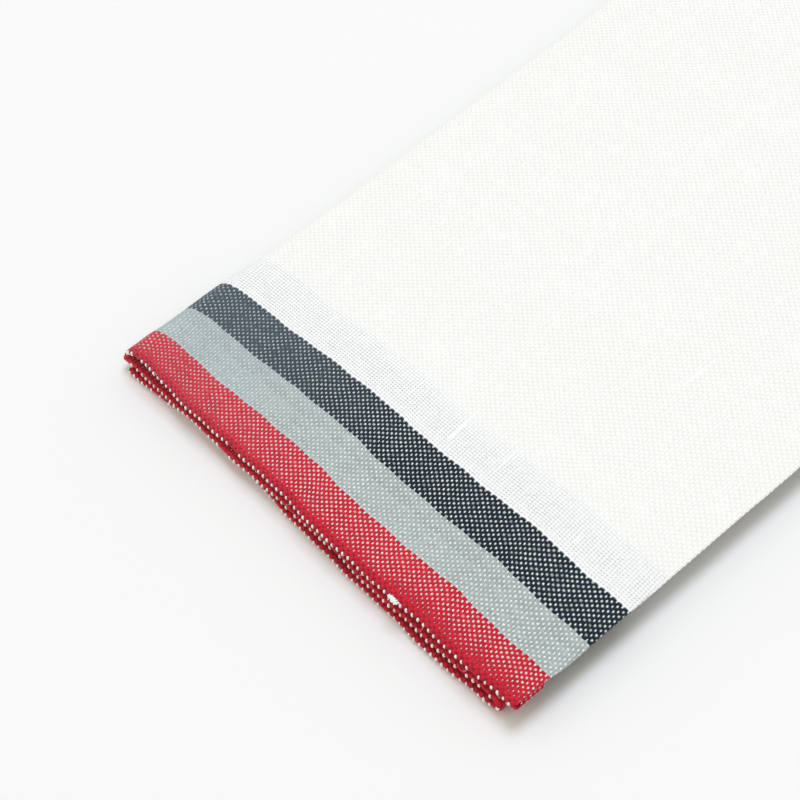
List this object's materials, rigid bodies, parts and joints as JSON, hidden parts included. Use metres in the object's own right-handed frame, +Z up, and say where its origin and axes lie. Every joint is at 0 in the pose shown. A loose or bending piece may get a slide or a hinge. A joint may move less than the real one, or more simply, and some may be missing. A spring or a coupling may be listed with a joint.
{
  "type": "tea towel",
  "caption": "Folded plain-weave tea towel with red, grey and navy weft stripes and a turned hem at its ends, lying flat in a long strip.",
  "frame": {"origin": "centre of the folded towel's box, at its base on the surface it lies on", "axes": "+Y along the towel's length, away from the striped end that faces the viewer; +X towards the top layer's free long edge; +Z up"},
  "size_m": [0.1497, 0.7046, 0.0083],
  "materials": {
    "towel_cloth": "plain-weave cotton and linen, cream ground with red, grey and navy weft stripes"
  },
  "bodies": {
    "root": {"tea_towel": "towel_cloth"}
  },
  "joints": []
}
